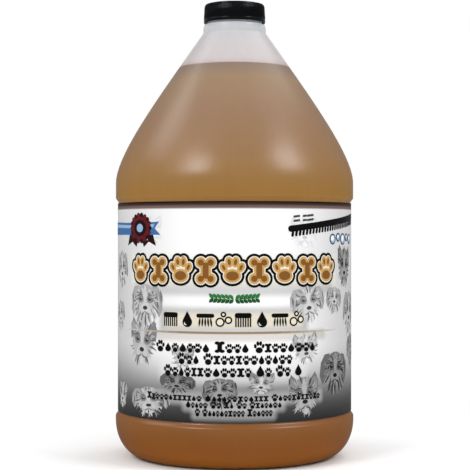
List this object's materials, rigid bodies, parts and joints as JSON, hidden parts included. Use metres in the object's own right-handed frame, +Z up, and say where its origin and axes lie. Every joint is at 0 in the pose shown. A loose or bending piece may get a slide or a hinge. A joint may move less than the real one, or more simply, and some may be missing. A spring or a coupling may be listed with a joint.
{
  "type": "shampoo bottle",
  "caption": "Round translucent gallon jug of amber dog-grooming shampoo with a wrap-around label and a black ribbed screw cap.",
  "frame": {"origin": "centre of the flat ring that the bottle stands on", "axes": "+Z up along the neck's axis; the label's front faces -Y"},
  "size_m": [0.153, 0.153, 0.2902],
  "materials": {
    "natural_polyethylene": "satin",
    "amber_shampoo": "gloss",
    "label_film": "satin",
    "black_polypropylene": "satin",
    "white_foam": "matte"
  },
  "bodies": {
    "bottle": {"bottle": "natural_polyethylene", "shampoo": "amber_shampoo", "label": "label_film"},
    "liner": {"cap_liner": "white_foam"},
    "cap": {"screw_cap": "black_polypropylene"}
  },
  "joints": [
    {"name": "cap_lift", "type": "slide", "parent": "bottle", "child": "liner", "axis": [0, 0, 1], "range_m": [0, 0.01694]},
    {"name": "cap_turn", "type": "hinge", "parent": "liner", "child": "cap", "pos_m": [0, 0, 0.2842], "axis": [0, 0, 1], "range_deg": [0, 1440]}
  ],
  "couplings": [
    {"joint": "cap_lift", "follows": "cap_turn", "m_per_rad": 0.00067376}
  ]
}
